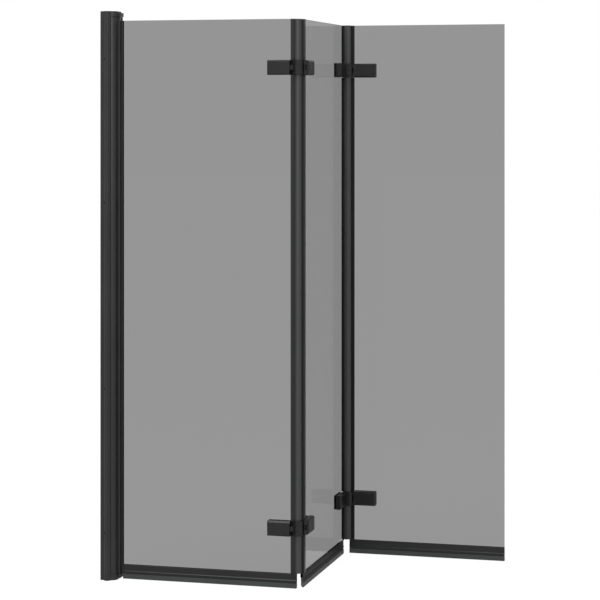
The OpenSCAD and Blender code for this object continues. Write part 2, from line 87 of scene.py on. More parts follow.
RAIL_FRONT, RAIL_REAR, RAIL_LOW, RAIL_HIGH, RAIL_ROUND = 4.6, 4.2, 12.0, 32.0, 0.8
LEDGE_FRONT, LEDGE_LOW, LEDGE_HIGH, LEDGE_BEVEL = 6.0, 15.4, 18.8, 1.35
LINES, LINE_WIDTH = (22.5, 27.5), 0.7
LIP_HIGH, LIP_ROUND, LIP_BEVEL = 11.5, 0.8, 1.2
BULB, BULB_HEIGHT, GROOVE = 1.8, 18.0, 1.9
ADJUST_HEIGHTS, ADJUST_X = (109.0, 437.0, 860.0, 1188.0), 11.0
BEAD_HIGHLIGHT_EDGE = (9.05, 9.4)  # from the fold axis, where the painted highlight of the bead ends
STRIP_REACH, STRIP_MOVE = 0.5, 0.25  # points at the end of a strip, and their way to the hinge
THROUGH = 60.0  # long enough to pass through any hinge
NEAR = 0.1  # how far an edge may be from the face that a rule names

SMOOTH = math.radians(35)  # edges that turn more than this stay sharp in the shading
FLOOR_SIZE, FLOOR_DROP = 60, 0.0005
FLOOR_WHITE, FLOOR_GLOW = 0.94, 1.026  # share and strength of the plain white in the floor
CAMERA_PLACE = (1.6936, -4.6405)
LAMP_SIZE = 1.6

NOISE_RANGE = (0.3, 0.7)  # where most values of a noise lie
CLOUD_SCALE, CLOUD_DETAIL = 9.0, 4.0
GRAIN_DETAIL, GRAIN_STRENGTH, GRAIN_DEPTH = 2.0, 0.35, 0.00004

# Number, place, start, end and mid-glass of each bottom rail and its lip.
BOTTOMS = (
    (1, "1a", 45 - PANEL_1, -1, MID_GLASS_1),
    (2, "1b", 1, PANEL_2 - 1, MID_GLASS_1),
    (3, "2b", 1, PANEL_3, MID_GLASS_2),
)


# ---------- sizes and colours ----------


class ScreenGlass(bpy.types.PropertyGroup):
    """Sizes and tint of the glass"""

    arris: FloatProperty(name="Arris", description="Width of the ground edge in mm", default=0.5)
    tint: FloatVectorProperty(
        name="Tint", description="Colour that the glass lets through",
        default=(0.3, 0.3, 0.3), subtype="COLOR",
    )
    # painted shade: a darker copy of the glass tint for the second sheet, seen along its face
    painted_shade_tint: FloatVectorProperty(
        name="Side tint", description="Colour through the sheet that is seen along its face",
        default=(0.272, 0.272, 0.272), subtype="COLOR",
    )
    index: FloatProperty(name="Index", description="Refractive index", default=1.08)


class ScreenMetal(bpy.types.PropertyGroup):
    """Sizes and colours of the coated metal"""

    coat: FloatVectorProperty(
        name="Coat", description="Colour of the satin black powder coat",
        default=(0.0135, 0.0137, 0.0137), subtype="COLOR",
    )
    rail: FloatVectorProperty(
        name="Rail coat", description="Colour of the coat on the bottom rails",
        default=(0.007, 0.0072, 0.0072), subtype="COLOR",
    )
    hinge: FloatVectorProperty(
        name="Hinge coat", description="Colour of the coat on the hinges",
        default=(0.006, 0.006, 0.006), subtype="COLOR",
    )
    roughness: FloatProperty(
        name="Roughness", description="Roughness of the coat", default=0.36, min=0, max=1,
    )
    edge: FloatProperty(name="Edge", description="Radius of the broken edges in mm", default=0.35)


class ScreenSeal(bpy.types.PropertyGroup):
    """Sizes and colours of the seals"""

    rubber: FloatVectorProperty(
        name="Rubber", description="Colour of the black seals",
        default=(0.008, 0.008, 0.008), subtype="COLOR",
    )
    # painted highlight: the lighter colour round the fold axis stands in for the light on the
    # round bead
    bead: FloatVectorProperty(
        name="Bead", description="Colour of the soft beads in the corners",
        default=(0.03, 0.032, 0.031), subtype="COLOR",
    )
    # painted highlight: a still lighter copy of the bead colour for the second fold, whose strips
    # reflect less
    brighter_bead_highlight: FloatVectorProperty(
        name="Second bead", description="Colour of the soft beads in the second corner",
        default=(0.043, 0.045, 0.044), subtype="COLOR",
    )
    lip: FloatVectorProperty(
        name="Lip", description="Colour of the sealing lip",
        default=(0.029, 0.031, 0.031), subtype="COLOR",
    )
    lip_front: FloatProperty(
        name="Lip front", description="Front of the lip from mid-glass in mm", default=5.5,
    )
    lip_rear: FloatProperty(
        name="Lip rear", description="Rear of the lip from mid-glass in mm", default=4.0,
    )
    rounds: IntProperty(
        name="Rounds", description="Segments of the rounded underside", default=4, min=2,
    )


class ScreenStage(bpy.types.PropertyGroup):
    """Camera and light"""

    lens: FloatProperty(name="Lens", description="Focal length in mm", default=128.7)
    azimuth: FloatProperty(
        name="Azimuth", description="Turn of the camera in degrees", default=14.85,
    )
    height: FloatProperty(
        name="Height", description="Camera height over the bath rim in m", default=1.067,
    )
    shift: FloatProperty(name="Shift", description="Vertical shift of the camera", default=-0.3133)
    ambient: FloatProperty(
        name="Ambient", description="Level of the light from all round", default=0.75,
    )
    lamp: FloatProperty(
        name="Lamp", description="Power of the soft lamp by the camera in W", default=75.0,
    )
    overhead: FloatProperty(
        name="Overhead", description="Power of the soft lamp above in W", default=70.0,
    )


# ---------- modelling tools ----------


def deselect():
    """Object mode with nothing selected."""
    if bpy.context.object and bpy.context.object.mode != "OBJECT":
        bpy.ops.object.mode_set(mode="OBJECT")
    bpy.ops.object.select_all(action="DESELECT")


def only(piece):
    """Makes piece the one selected and active object."""
    deselect()
    piece.select_set(True)
    bpy.context.view_layer.objects.active = piece


def settle(piece):
    """Moves the object's place, turn and size into its mesh."""
    only(piece)
    bpy.ops.object.transform_apply(location=True, rotation=True, scale=True)


def box(name, low, high):
    """A block between two corners given in mm."""
    deselect()
    centre = [(a + b) / 2 * MM for a, b in zip(low, high)]
    bpy.ops.mesh.primitive_cube_add(size=1, location=centre)
    piece = bpy.context.object
    piece.name = name
    piece.scale = [(b - a) * MM for a, b in zip(low, high)]
    settle(piece)
    return piece


def rod(name, centre, radius, length, axis="Z", sides=48, top=None):
    """A cylinder, or a cone with another top radius, in mm, its middle at centre."""
    deselect()
    turn = {"X": (0, math.pi / 2, 0), "Y": (math.pi / 2, 0, 0), "Z": (0, 0, 0)}[axis]
    bpy.ops.mesh.primitive_cone_add(
        vertices=sides, radius1=radius * MM, radius2=(radius if top is None else top) * MM,
        depth=length * MM, location=[c * MM for c in centre], rotation=turn,
    )
    piece = bpy.context.object
    piece.name = name
    settle(piece)
    return piece


def pick(piece, rule, kind="FACE"):
    """Edit mode on piece with the faces, edges or vertices that rule names selected."""
    only(piece)
    bpy.ops.object.mode_set(mode="EDIT")
    bpy.ops.mesh.select_mode(type=kind)
    bpy.ops.mesh.select_all(action="DESELECT")
    mesh = bmesh.from_edit_mesh(piece.data)
    things = {"FACE": mesh.faces, "EDGE": mesh.edges, "VERT": mesh.verts}[kind]
    for thing in things:
        thing.select_set(bool(rule(thing)))
    mesh.select_flush_mode()
    bmesh.update_edit_mesh(piece.data)


def done():
    """Back to object mode."""
    bpy.ops.object.mode_set(mode="OBJECT")


def middle(edge):
    """Middle of an edge in mm."""
    return (edge.verts[0].co + edge.verts[1].co) / 2 / MM


def run_of(edge):
    """Direction of an edge as a unit vector."""
    return (edge.verts[1].co - edge.verts[0].co).normalized()


def lengthwise(edge):
    """Rule for the edges that run along a rail or lip."""
    return abs(run_of(edge).x) > 0.9


def everything(thing):
    """Rule that names every face or edge."""
    return True


def combine(piece, others, how):
    """Joins others to piece, cuts them from it or keeps what they share, and removes them."""
    for other in others:
        only(piece)
        change = piece.modifiers.new("shape", "BOOLEAN")
        change.operation = how
        change.solver = "EXACT"
        change.object = other
        bpy.ops.object.modifier_apply(modifier=change.name)
        bpy.data.objects.remove(other)


def cut(piece, *others):
    """Cuts others from piece."""
    combine(piece, others, "DIFFERENCE")


def join(piece, *others):
    """Joins others to piece as one solid."""
    combine(piece, others, "UNION")


def common(piece, *others):
    """Keeps what piece shares with others."""
    combine(piece, others, "INTERSECT")


def slice_off(piece, point, normal):
    """Cuts piece by a plane and removes the side that normal points to."""
    pick(piece, everything)
    # bisect cuts each part of a normal off at 1, so the normal has to be a unit vector
    bpy.ops.mesh.bisect(
        plane_co=[v * MM for v in point], plane_no=Vector(normal).normalized(),
        clear_outer=True, use_fill=True, threshold=1e-7,
    )
    done()


def chamfer(piece, width, rule, segments=1):
    """Bevels the edges that rule names by width in mm."""
    pick(piece, rule, "EDGE")
    bpy.ops.mesh.bevel(
        offset=width * MM, offset_type="OFFSET", segments=segments, profile=0.5,
        affect="EDGES", clamp_overlap=False,
    )
    done()


def soften(piece, width, segments=2):
    """Breaks the sharp edges and shades the round faces smooth."""
    only(piece)
    bevel = piece.modifiers.new("broken edges", "BEVEL")
    bevel.width = width * MM
    bevel.segments = segments
    bevel.limit_method = "ANGLE"
    bevel.angle_limit = math.radians(30)
    bevel.use_clamp_overlap = True
    bevel.miter_outer = "MITER_ARC"
    bpy.ops.object.modifier_apply(modifier=bevel.name)
    bpy.ops.object.shade_smooth_by_angle(angle=SMOOTH)


def put(piece, spot, height=0.0):
    """Places a piece that was drawn in a flat fold outline, in mm over the rim."""
    (x, y), turn = SPOTS[spot]
    piece.location = (x, y, RIM + height * MM)
    piece.rotation_euler = (0, 0, math.radians(turn))
    settle(piece)
    return piece


def flip(piece):
    """Mirrors a piece across its fold axis."""
    piece.scale = (-1, 1, 1)
    settle(piece)
    pick(piece, everything)
    bpy.ops.mesh.normals_make_consistent(inside=False)
    done()


def copy_of(piece, name):
    """A copy with a mesh of its own."""
    only(piece)
    bpy.ops.object.duplicate(linked=False)
    twin = bpy.context.object
    twin.name = name
    return twin


def refined(node, width):
    """A merged copy of a CAD part with broken edges and smooth round faces."""
    piece = copy_of(frame["nodes"][node], node + "_shaped")
    pick(piece, everything)
    bpy.ops.mesh.remove_doubles(threshold=1e-6)
    bpy.ops.mesh.dissolve_limited(angle_limit=math.radians(0.5))
    bpy.ops.mesh.normals_make_consistent(inside=False)
    done()
    soften(piece, width)
    return piece


def close_gaps(strip):
    """Brings the ends of a strip's lengths nearer to the hinges, to a gap of 0.1 mm."""
    reach, move = STRIP_REACH * MM, STRIP_MOVE * MM
    for height in HINGES.values():
        for side in (-1, 1):
            end = RIM + (height + side * NOTCH_HALF) * MM
            pick(strip, lambda vert: abs(vert.co.z - end) < reach, "VERT")
            bpy.ops.transform.translate(value=(0, 0, -side * move))
            done()


def gather(name, pieces):
    """Several solids as one object."""
    deselect()
    for piece in pieces:
        piece.select_set(True)
    bpy.context.view_layer.objects.active = pieces[0]
    bpy.ops.object.join()
    pieces[0].name = name
    return pieces[0]


def dress(piece, material):
    """Gives a piece one material."""
    piece.data.materials.clear()
    piece.data.materials.append(material)


def clean(piece):
    """Merges points that fall together and removes faces without area."""
    pick(piece, everything)
    bpy.ops.mesh.remove_doubles(threshold=2e-6)
    bpy.ops.mesh.dissolve_degenerate(threshold=2e-6)
    done()


def even_shading(piece):
    """Keeps the shading of the large flat faces plain beside their broken edges."""
    only(piece)
    even = piece.modifiers.new("even shading", "WEIGHTED_NORMAL")
    even.keep_sharp = True
    bpy.ops.object.modifier_apply(modifier=even.name)


def finish_piece(piece, body, nodes, material):
    """Shading, material, body and CAD nodes of a finished piece."""
    clean(piece)
    if any(face.use_smooth for face in piece.data.polygons):
        even_shading(piece)
    dress(piece, material)
    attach(piece, body)
    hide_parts(*nodes)


# ---------- materials ----------


def new_material(name):
    """A node material with its tree and its shader."""
    material = bpy.data.materials.new(name)
    material.use_nodes = True
    tree = material.node_tree
    shader = next(n for n in tree.nodes if n.type == "BSDF_PRINCIPLED")
    return material, tree, shader


def pattern(tree, scale, detail, stretch=(1, 1, 1)):
    """A noise on object coordinates, stretched along an axis."""
    place = tree.nodes.new("ShaderNodeTexCoord")
    mapping = tree.nodes.new("ShaderNodeMapping")
    mapping.inputs["Scale"].default_value = stretch
    noise = tree.nodes.new("ShaderNodeTexNoise")
    noise.inputs["Scale"].default_value = scale
    noise.inputs["Detail"].default_value = detail
    tree.links.new(place.outputs["Object"], mapping.inputs["Vector"])
    tree.links.new(mapping.outputs["Vector"], noise.inputs["Vector"])
    return noise.outputs["Fac"]


def spread(tree, value, low, high):
    """Maps a noise to a range of values."""
    node = tree.nodes.new("ShaderNodeMapRange")
    node.inputs["From Min"].default_value = NOISE_RANGE[0]
    node.inputs["From Max"].default_value = NOISE_RANGE[1]
    node.inputs["To Min"].default_value = low
    node.inputs["To Max"].default_value = high
    tree.links.new(value, node.inputs["Value"])
    return node.outputs["Result"]


def tones(tree, value, low, high):
    """Maps a noise to a range of colours."""
    node = tree.nodes.new("ShaderNodeMix")
    node.data_type = "RGBA"
    node.inputs["A"].default_value = (*low, 1)
    node.inputs["B"].default_value = (*high, 1)
    tree.links.new(spread(tree, value, 0, 1), node.inputs["Factor"])
    return node.outputs["Result"]


def relief(tree, shader, value):
    """A fine bump from a noise."""
    node = tree.nodes.new("ShaderNodeBump")
    node.inputs["Strength"].default_value = GRAIN_STRENGTH
    node.inputs["Distance"].default_value = GRAIN_DEPTH
    tree.links.new(value, node.inputs["Height"])
    tree.links.new(node.outputs["Normal"], shader.inputs["Normal"])


def finish(
    name, colour, roughness, grain=1400.0, stretch=(1, 1, 1), metal=0.0, spec=0.27, vary=0.15
):
    """A surface with fine grain, faint cloudiness and uneven gloss."""
    material, tree, shader = new_material(name)
    cloud = pattern(tree, CLOUD_SCALE, CLOUD_DETAIL)
    fine = pattern(tree, grain, GRAIN_DETAIL, stretch)
    dark = [c * (1 - vary) for c in colour]
    pale = [min(1.0, c * (1 + vary)) for c in colour]
    tree.links.new(tones(tree, cloud, dark, pale), shader.inputs["Base Color"])
    gloss = spread(tree, fine, roughness - 0.05, roughness + 0.07)
    tree.links.new(gloss, shader.inputs["Roughness"])
    relief(tree, shader, fine)
    shader.inputs["Metallic"].default_value = metal
    shader.inputs["Specular IOR Level"].default_value = spec
    return material


def bead_highlight_finish(name, kit, fold, bead, spec):
    """Clip strip with a lighter colour round the fold axis, a painted highlight of the round bead
    that also covers the cup seal's ring.
    """
    material = finish(name, kit.rubber, 0.42, grain=700.0, stretch=(1, 1, 0.02), spec=spec)
    tree = material.node_tree
    shader = next(n for n in tree.nodes if n.type == "BSDF_PRINCIPLED")
    place = tree.nodes.new("ShaderNodeTexCoord")
    flat = tree.nodes.new("ShaderNodeVectorMath")
    flat.operation = "MULTIPLY"
    flat.inputs[1].default_value = (1, 1, 0)
    reach = tree.nodes.new("ShaderNodeVectorMath")
    reach.operation = "DISTANCE"
    reach.inputs[1].default_value = (*fold, 0)
    tree.links.new(place.outputs["Object"], flat.inputs[0])
    tree.links.new(flat.outputs["Vector"], reach.inputs[0])
    # near the fold axis the colour turns to the lighter one of the painted highlight
    step = tree.nodes.new("ShaderNodeMapRange")
    step.inputs["From Min"].default_value = BEAD_HIGHLIGHT_EDGE[0] * MM
    step.inputs["From Max"].default_value = BEAD_HIGHLIGHT_EDGE[1] * MM
    tree.links.new(reach.outputs["Value"], step.inputs["Value"])
    blend = tree.nodes.new("ShaderNodeMix")
    blend.data_type = "RGBA"
    blend.inputs["A"].default_value = (*bead, 1)
    base = shader.inputs["Base Color"]
    clip = next(link for link in tree.links if link.to_socket == base).from_socket
    tree.links.new(clip, blend.inputs["B"])
    tree.links.new(step.outputs["Result"], blend.inputs["Factor"])
    tree.links.new(blend.outputs["Result"], base)
    return material


def glass_finish(name, kit, tint):
    """Smoke-tinted glass."""
    material, _, shader = new_material(name)
    shader.inputs["Base Color"].default_value = (*tint, 1)
    shader.inputs["Roughness"].default_value = 0.0
    shader.inputs["IOR"].default_value = kit.index
    shader.inputs["Transmission Weight"].default_value = 1.0
    return material


MATERIALS = {}
# strips with a bead, and their finishes with the painted bead highlight
BEADS = {
    "fold_1_ball_seal": "bead_1", "fold_1_cup_seal": "bead_1",
    "fold_2_ball_seal": "bead_2", "fold_2_cup_seal": "bead_2",
}
BY_SLOT = {
    "satin_black_metal": "coat", "hinge_black": "hinge", "smoked_glass": "glass",
    "seal_rubber": "seal", "pad_rubber": "pad", "cap_plastic": "cap",
    "screw_steel": "steel", "dark_screw": "dark", "nylon": "nylon",
}


def make_materials(scene):
    """Every finish of the screen, by its short name."""
    glass = scene.screen_glass
    metal = scene.screen_metal
    seal = scene.screen_seal
    MATERIALS.update(
        glass=glass_finish("smoked glass", glass, glass.tint),
        side_glass=glass_finish("smoked glass with painted shade, along the bath's end", glass, glass.painted_shade_tint),
        coat=finish("satin black coat", metal.coat, metal.roughness),
        rail=finish("satin black coat of the rails", metal.rail, metal.roughness),
        side_rail=finish("dull black coat of the second rail", metal.rail, 0.5, spec=0.06),
        hinge=finish("hinge black coat", metal.hinge, metal.roughness, grain=1800.0),
        seal=finish("black seal", seal.rubber, 0.5, grain=700.0, stretch=(1, 1, 0.02)),
        lip=finish("lip rubber", seal.lip, 0.55, grain=700.0, stretch=(0.05, 0.05, 1)),
        # the strips at each fold carry a painted highlight round the fold axis
        bead_1=bead_highlight_finish("strips at the first fold", seal, FOLD_1, seal.bead, 0.27),
        # the second fold's strips reflect less, so their painted highlight is lighter
        bead_2=bead_highlight_finish("strips at the second fold", seal, FOLD_2, seal.brighter_bead_highlight, 0.12),
        pad=finish("pad rubber", (0.02, 0.02, 0.02), 0.75),
        cap=finish("cap plastic", metal.coat, 0.46, grain=900.0),
        steel=finish(
            "screw steel", (0.5, 0.5, 0.51), 0.3,
            grain=900.0, stretch=(1, 1, 0.05), metal=1.0, vary=0.06,
        ),
        dark=finish("dark screw", (0.006, 0.006, 0.006), 0.4),
        nylon=finish("nylon", (0.72, 0.71, 0.67), 0.5, grain=500.0, vary=0.04),
    )


# ---------- operators: one for each group of pieces ----------


class SCREEN_OT_finishes(bpy.types.Operator):
    """Makes the finishes and puts them on the parts that keep their own shape"""

    bl_idname = "screen.finishes"
    bl_label = "Finishes"

    def execute(self, context):
        make_materials(context.scene)
        for entry in frame["record"]["subparts"]:
            piece = frame["nodes"][entry["node"]]
            material = MATERIALS[BY_SLOT[entry["material_slot"]]]
            for place in piece.material_slots:
                place.material = material
        return {"FINISHED"}


def glass_sheet(name, spot, near, far, depth, sides, kit):
    """A sheet in a fold outline, with the notches and holes for the hinges on its sides."""
    low, high = (near, depth - GLASS_HALF, GLASS_LOW), (far, depth + GLASS_HALF, GLASS_HIGH)
    sheet = box(name, low, high)
    chamfer(sheet, kit.arris, everything)
    cuts = []
    for side, axis_x in sides:
        start, end = sorted((axis_x - side * NOTCH_OPEN, axis_x + side * NOTCH_REACH))
        for height in HINGES.values():
            low, high = height - NOTCH_HALF, height + NOTCH_HALF
            cuts.append(box("cut", (start, depth - 9, low), (end, depth + 9, high)))
            for reach in SCREW_REACHES:
                place = (axis_x + side * reach, depth, height)
                cuts.append(rod("cut", place, GLASS_HOLE, 20, "Y", 32))
    cut(sheet, *cuts)
    return put(sheet, spot)


class SCREEN_OT_glass(bpy.types.Operator):
    """Three sheets of tinted glass with ground edges, notches and holes"""

    bl_idname = "screen.glass"
    bl_label = "Glass"

    def execute(self, context):
        kit = context.scene.screen_glass
        # place, edges and mid-glass of each sheet, and the axes of its hinges with their side
        # the second sheet is drawn in the second fold's outline, its near edge at the first fold
        rows = (
            ("1a", 33 - PANEL_1, -9, MID_GLASS_1, [(-1, 0)]),
            ("2a", 9 - PANEL_2, -2.5, MID_GLASS_2, [(-1, 0), (1, -PANEL_2)]),
            ("2b", 2.5, PANEL_3, MID_GLASS_2, [(1, 0)]),
        )
        sheets = [glass_sheet(f"glass_sheet_{n}", *row, kit) for n, row in enumerate(rows, 1)]
        for number, sheet in enumerate(sheets, 1):
            # the second sheet gets the darker copy of the glass, painted shade for a sheet seen
            # along its face
            material = MATERIALS["side_glass" if number == 2 else "glass"]
            finish_piece(sheet, f"panel_{number}", [f"glass_{number}"], material)
        return {"FINISHED"}


def trim_end(piece, number):
    """Cuts the near end of the second rail or lip at a slant."""
    if number == 2:
        slice_off(piece, (1, -12.5, 0), (-11, 19, 0))


class SCREEN_OT_rails(bpy.types.Operator):
    """Rail along the bottom of each glass, with a ledge over the lip and fine lines in front"""

    bl_idname = "screen.rails"
    bl_label = "Bottom rails"

    def execute(self, context):
        edge = context.scene.screen_metal.edge
        for number, spot, start, end, y in BOTTOMS:
            rail = self.rail(f"rail_{number}", start, end, y)
            trim_end(rail, number)
            soften(rail, edge * 0.5)
            put(rail, spot)
            nodes = [f"bottom_rail_{number}"]
            material = MATERIALS["side_rail" if number == 2 else "rail"]
            finish_piece(rail, f"panel_{number}", nodes, material)
        return {"FINISHED"}

    def rail(self, name, start, end, y):
        """A rail with its ledge, the slot for the glass, the groove for the lip and two lines."""
        rail = box(name, (start, y - RAIL_FRONT, RAIL_LOW), (end, y + RAIL_REAR, RAIL_HIGH))
        chamfer(rail, RAIL_ROUND, lambda e: middle(e).z > RAIL_HIGH - NEAR and lengthwise(e), 3)
        ledge = box("ledge", (start, y - LEDGE_FRONT, LEDGE_LOW), (end, y + 1, LEDGE_HIGH))

        def brow(e):
            spot = middle(e)
            return spot.z > LEDGE_HIGH - NEAR and spot.y < y - 5 and lengthwise(e)

        chamfer(ledge, LEDGE_BEVEL, brow)
        join(rail, ledge)
        before, after = start - 1, end + 1
        groove = ((start + end) / 2, y, BULB_HEIGHT)
        cuts = [
            box("undercut", (before, y - 9, 11), (after, y - 4.2, LEDGE_LOW)),
            box("slot", (before, y - 3.1, 21.1), (after, y + 3.1, 40)),
            rod("keyhole", groove, GROOVE, end - start + 2, "X", 32),
            box("mouth", (before, y - 1.1, 11), (after, y + 1.1, 17.5)),
        ]
        for low in LINES:
            cuts.append(box("line", (before, y - 5.2, low), (after, y - 4.25, low + LINE_WIDTH)))
        cut(rail, *cuts)
        return rail


class SCREEN_OT_lips(bpy.types.Operator):
    """Soft lip under each rail, with broken edges and a bulb that holds it in the rail"""

    bl_idname = "screen.lips"
    bl_label = "Bottom lips"

    def execute(self, context):
        kit = context.scene.screen_seal
        for number, spot, start, end, y in BOTTOMS:
            low, high = (start, y - kit.lip_front, 0), (end, y + kit.lip_rear, LIP_HIGH)
            lip = box(f"lip_{number}", low, high)
            chamfer(lip, LIP_ROUND, lambda e: middle(e).z < NEAR and lengthwise(e), kit.rounds)
            chamfer(lip, LIP_BEVEL, lambda e: middle(e).z > LIP_HIGH - NEAR and lengthwise(e), 2)
            tongue = box("tongue", (start, y - 1, 10), (end, y + 1, BULB_HEIGHT))
            bulb = rod("bulb", ((start + end) / 2, y, BULB_HEIGHT), BULB, end - start, "X", 24)
            join(lip, tongue, bulb)
            trim_end(lip, number)
            soften(lip, 0.2)
            put(lip, spot)
            nodes = [f"bottom_lip_{number}"]
            finish_piece(lip, f"panel_{number}", nodes, MATERIALS["lip"])
        return {"FINISHED"}


def panel_of(fold, letter):
    """Body that carries leaf a or b of a fold."""
    return f"panel_{fold + (letter == 'b')}"


def leaf(name, out, seat, knuckles, bore, edge):
    """A hinge leaf on the side of +X: block, cheek, knuckles and their arms."""
    side = 1 if out > seat else -1
    low, high = sorted((out, seat))
    block = box(name, (BLOCK_NEAR, low, -BLOCK_HALF), (BLOCK_FAR, high, BLOCK_HALF))

    def rim(e):
        spot = middle(e)
        return abs(spot.y - out) < NEAR and spot.x > BLOCK_NEAR + 0.5

    chamfer(block, BLOCK_BEVEL, rim)
    # the cheek rises towards the knuckle and follows its round
    low, high = sorted((seat + side * CHEEK_THICK, seat))
    cheek = box("cheek", (CHEEK_NEAR, low, -BLOCK_HALF), (BLOCK_NEAR + 1, high, BLOCK_HALF))
    slice_off(cheek, (CHEEK_NEAR, seat + side * CHEEK_THIN, 0), (4.5, side * 10, 0))
    cut(cheek, rod("hollow", (0, 0, 0), CHEEK_HOLLOW, THROUGH, sides=96))
    join(block, cheek)
    flat, far = KNUCKLE_FLAT, BLOCK_NEAR + 4
    for bottom, top in knuckles:
        ring = box("knuckle", (-flat, -flat, bottom), (flat, flat, top))
        centre = (0, 0, (bottom + top) / 2)
        common(ring, rod("round", centre, KNUCKLE_RADIUS, top - bottom + 2, sides=128))
        if out < 0:
            arm = box("arm", (4, -18.5, bottom), (far, -6, top))
            slice_off(arm, (4, -11.4, 0), (-7.1, -8.5, 0))
        else:
            arm = box("arm", (8, out, bottom), (far, 11, top))
        join(block, ring, arm)
    cut(block, rod("bore", (0, 0, 0), bore, THROUGH, sides=64))
    for reach in SCREW_REACHES:
        cut(block, rod("thread", (reach, seat, 0), THREAD, 16, "Y", 32))
    soften(block, edge, 3)
    return block


class SCREEN_OT_hinges(bpy.types.Operator):
    """Eight hinge leaves: a bevelled block on the glass with interleaved knuckles"""

    bl_idname = "screen.hinges"
    bl_label = "Hinge leaves"

    def execute(self, context):
        edge = context.scene.screen_metal.edge
        levels = {
            "a": [(-KNUCKLE_HALF, KNUCKLE_HALF)],
            "b": [(-BLOCK_HALF, -KNUCKLE_START), (KNUCKLE_START, BLOCK_HALF)],
        }
        for fold, out, seat in LEAVES:
            for letter, bore in BORES:
                first = leaf("leaf", out, seat, levels[letter], bore, edge)
                if letter == "a":
                    flip(first)
                twins = {"high": copy_of(first, "leaf"), "low": first}
                for height, piece in twins.items():
                    node = f"fold_{fold}_{height}_leaf_{letter}"
                    piece.name = node.replace("leaf", "hinge")
                    put(piece, f"{fold}{letter}", HINGES[height])
                    body = panel_of(fold, letter)
                    finish_piece(piece, body, [node], MATERIALS["hinge"])
        return {"FINISHED"}


class SCREEN_OT_clamps(bpy.types.Operator):
    """Clamp plates behind the glass and their countersunk screws with hexagon sockets"""

    bl_idname = "screen.clamps"
    bl_label = "Clamp plates"

    def execute(self, context):
        edge = context.scene.screen_metal.edge
        for fold, near in PLATES:
            for letter in "ab":
                body, spot = panel_of(fold, letter), f"{fold}{letter}"
                plate = self.plate(near, edge)
                pair = [self.screw(reach, near + SCREW_TOP) for reach in SCREW_REACHES]
                screws = gather("screws", pair)
                if letter == "a":
                    flip(plate)
                    flip(screws)
                pairs = []
                for height in HINGES:
                    piece = copy_of(plate, f"fold_{fold}_{height}_clamp_{letter}")
                    put(piece, spot, HINGES[height])
                    node = f"fold_{fold}_{height}_plate_{letter}"
                    finish_piece(piece, body, [node], MATERIALS["hinge"])
                    pairs.append(put(copy_of(screws, "screws"), spot, HINGES[height]))
                group = gather(f"fold_{fold}_clamp_screws_{letter}", pairs)
                nodes = [f"fold_{fold}_screws_{letter}"]
                finish_piece(group, body, nodes, MATERIALS["steel"])
                bpy.data.objects.remove(plate)
                bpy.data.objects.remove(screws)
        return {"FINISHED"}

    def plate(self, near, edge):
        """A flat plate with two countersinks."""
        far = near + PLATE_THICK
        plate = box("plate", (BLOCK_NEAR, near, -BLOCK_HALF), (BLOCK_FAR, far, BLOCK_HALF))
        chamfer(plate, PLATE_ROUND, lambda e: abs(run_of(e).y) > 0.9, 4)
        soften(plate, edge)
        for reach in SCREW_REACHES:
            hole = rod("hole", (reach, near, 0), PLATE_HOLE, 12, "Y", 48)
            sink = rod("sink", (reach, near + 1.55, 0), SINK, 2.3, "Y", 48, top=THREAD)
            cut(plate, hole, sink)
        bpy.ops.object.shade_smooth_by_angle(angle=SMOOTH)
        return plate

    def screw(self, reach, top):
        """A countersunk screw with a hexagon socket."""
        screw = rod("screw", (reach, top - 0.9, 0), SCREW_HEAD, 1.8, "Y", 48, top=THREAD)
        join(screw, rod("shaft", (reach, top - 8.5, 0), SCREW_SHAFT, 15, "Y", 32))
        cut(screw, rod("socket", (reach, top - 0.2, 0), SCREW_SOCKET, 2.6, "Y", 6))
        bpy.ops.object.shade_smooth_by_angle(angle=SMOOTH)
        return screw


class SCREEN_OT_adjusters(bpy.types.Operator):
    """Four small dark screws in the front of the adjusting profile"""

    bl_idname = "screen.adjusters"
    bl_label = "Adjusting screws"

    def execute(self, context):
        screws = []
        for height in ADJUST_HEIGHTS:
            screw = rod("screw", (ADJUST_X, -31.9, height), 2.5, 1, "Y", 48)
            chamfer(screw, 0.35, lambda e: middle(e).y < -32.3, 3)
            cut(screw, rod("socket", (ADJUST_X, -32.2, height), 1.3, 1.0, "Y", 6))
            join(screw, rod("shaft", (ADJUST_X, -29.1, height), 1.25, 4.8, "Y", 32))
            bpy.ops.object.shade_smooth_by_angle(angle=SMOOTH)
            screw.location = (0, 0, RIM)
            settle(screw)
            screws.append(screw)
        group = gather("adjusting_screws", screws)
        finish_piece(group, "wall_frame", ["adjust_screws"], MATERIALS["dark"])
        return {"FINISHED"}


class SCREEN_OT_profiles(bpy.types.Operator):
    """Profiles, caps, strips, pins and bushes, with broken edges and smooth round faces"""

    bl_idname = "screen.profiles"
    bl_label = "Profiles, caps and strips"

    widths = {
        "wall_frame": {
            "wall_channel": 0.3, "adjust_profile": 0.35, "top_cap": 0.6, "bottom_cap": 0.6,
            "cap_screws": 0.15, "pivot_pins": 0.4,
        },
        "panel_1": {
            "pivot_profile": 0.35, "pivot_bushes": 0.3, "glazing_gasket": 0.4,
            "fold_1_ball_seal": 0.3, "fold_1_pins": 0.4, "fold_1_pads_a": 0.1,
        },
        "panel_2": {
            "fold_1_cup_seal": 0.3, "fold_2_cup_seal": 0.3, "fold_1_bushes": 0.25,
            "fold_2_pins": 0.4, "fold_1_pads_b": 0.1, "fold_2_pads_a": 0.1,
        },
        "panel_3": {"fold_2_ball_seal": 0.3, "fold_2_bushes": 0.25, "fold_2_pads_b": 0.1},
    }

    def execute(self, context):
        slots = {entry["node"]: entry["material_slot"] for entry in frame["record"]["subparts"]}
        for body, nodes in self.widths.items():
            for node, width in nodes.items():
                piece = refined(node, width)
                if node in BEADS:
                    close_gaps(piece)
                material = MATERIALS[BEADS.get(node, BY_SLOT[slots[node]])]
                finish_piece(piece, body, [node], material)
        return {"FINISHED"}


